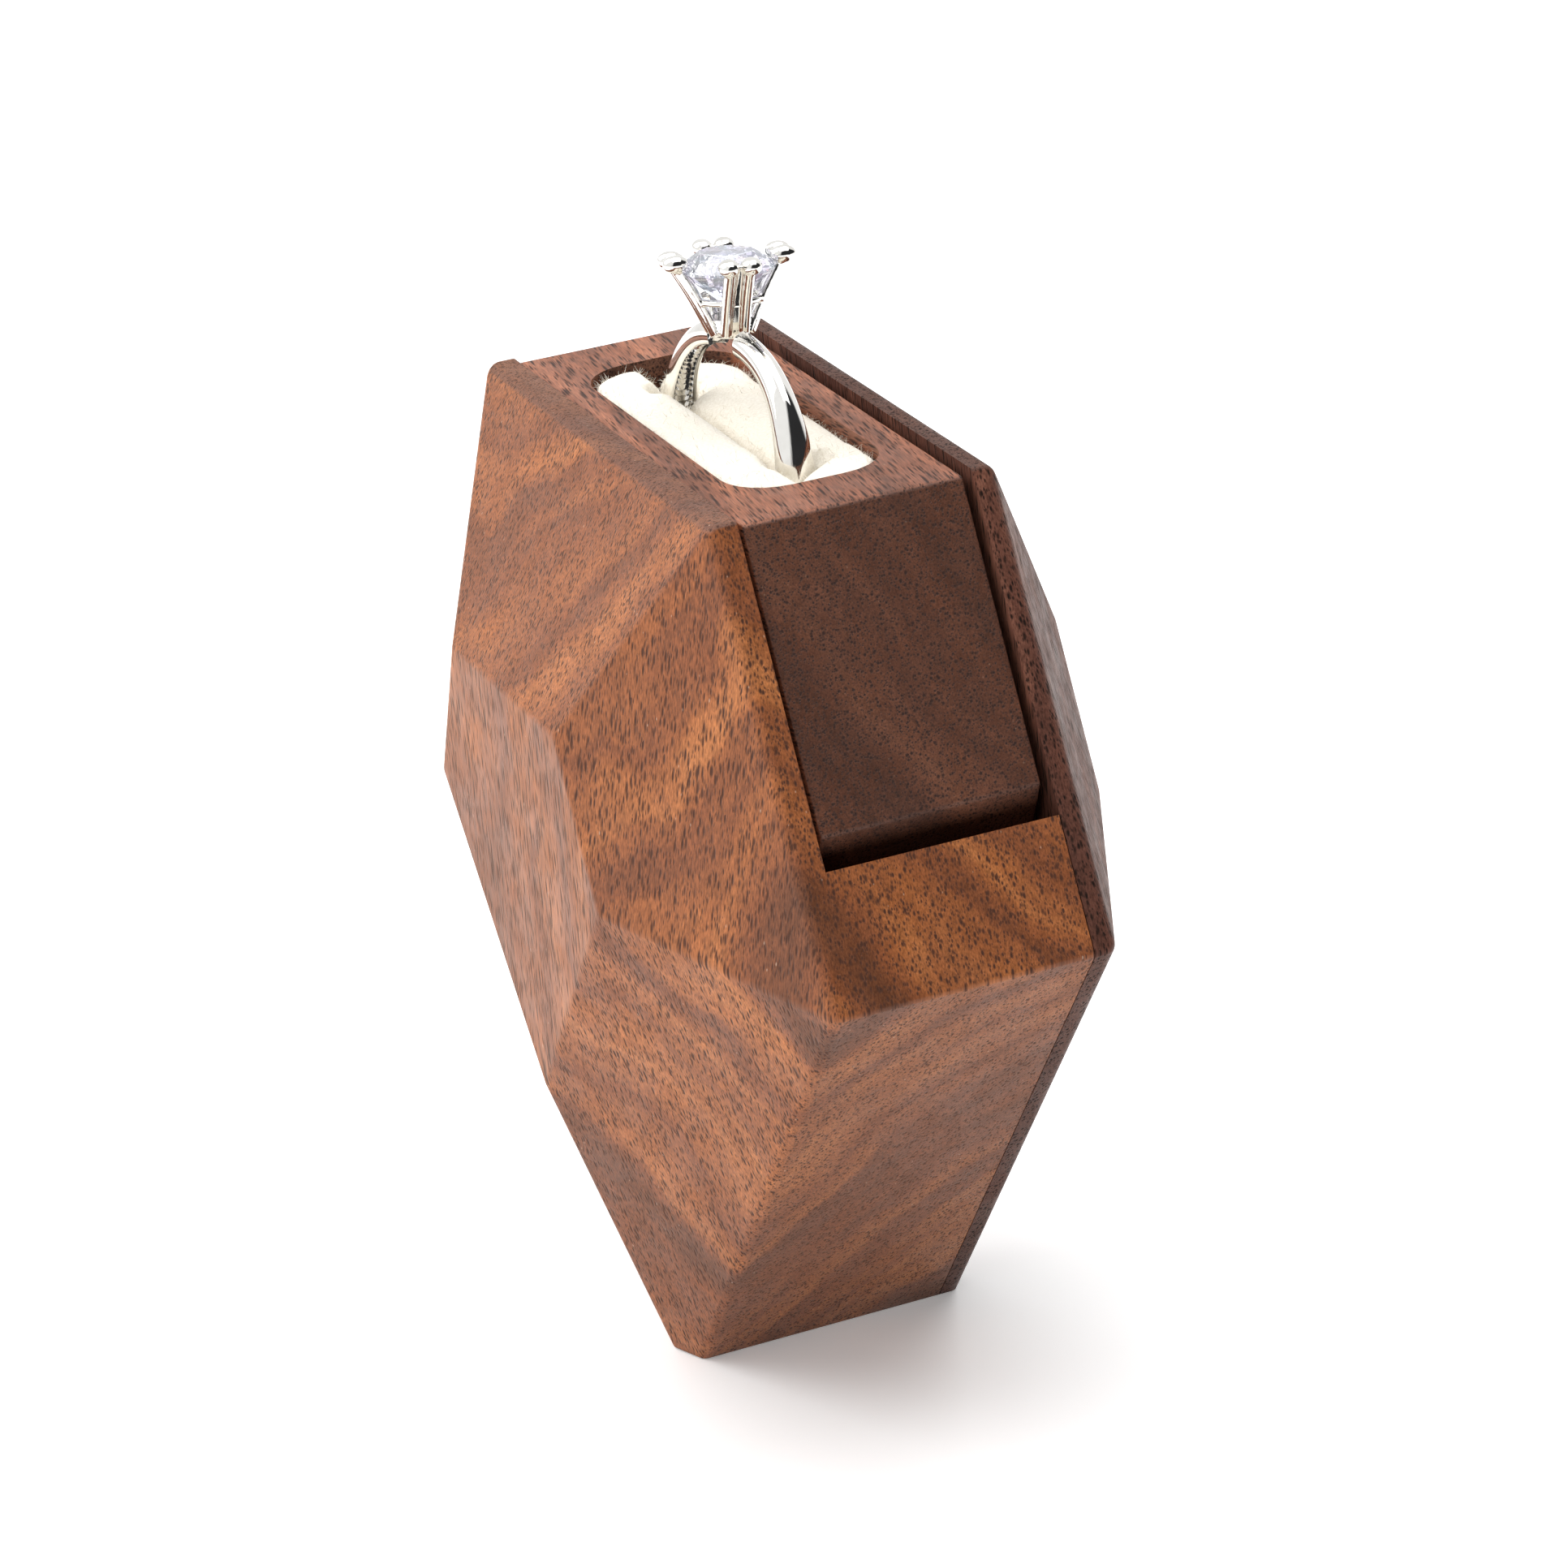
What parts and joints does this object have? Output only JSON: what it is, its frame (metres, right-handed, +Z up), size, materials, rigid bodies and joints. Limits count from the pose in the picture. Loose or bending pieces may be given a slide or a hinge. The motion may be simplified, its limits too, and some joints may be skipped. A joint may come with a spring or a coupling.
{
  "type": "ring box",
  "caption": "Gem-shaped wooden ring box standing on its flattened tip, with a felt-lined block that turns on hidden pins to show or hide a solitaire ring.",
  "frame": {"origin": "centre of the flat tip the box stands on, at the middle of the box's depth", "axes": "+Z up from the tip to the ring, +X along the ring slot, +Y towards the rear cover"},
  "size_m": [0.0662, 0.0352, 0.0762],
  "materials": {
    "casing_walnut": "oiled walnut, satin, fine dark pores",
    "cover_walnut": "darker oiled walnut, satin",
    "block_walnut": "dark oiled walnut, satin",
    "cream_felt": "short napped cream felt",
    "pin_brass": "turned brass",
    "bush_steel": "plain steel sleeve",
    "magnet_nickel": "nickel-plated magnet",
    "ring_silver": "polished silver",
    "ring_crystal": "clear round brilliant"
  },
  "bodies": {
    "casing": {"body_shell": "casing_walnut", "rear_cover": "cover_walnut", "front_pivot_pin": "pin_brass", "rear_pivot_pin": "pin_brass", "shell_magnet_left": "magnet_nickel", "shell_magnet_right": "magnet_nickel"},
    "turning_block": {"ring_block": "block_walnut", "front_bush": "bush_steel", "rear_bush": "bush_steel", "block_magnet_left": "magnet_nickel", "block_magnet_right": "magnet_nickel", "front_pad": "cream_felt", "rear_pad": "cream_felt", "slot_felt": "cream_felt", "ring_band": "ring_silver", "ring_head": "ring_silver", "ring_stone": "ring_crystal"}
  },
  "joints": [
    {"name": "block_turn", "type": "hinge", "parent": "casing", "child": "turning_block", "pos_m": [0, 0, 0.0473], "axis": [0, 1, 0], "continuous": true}
  ]
}
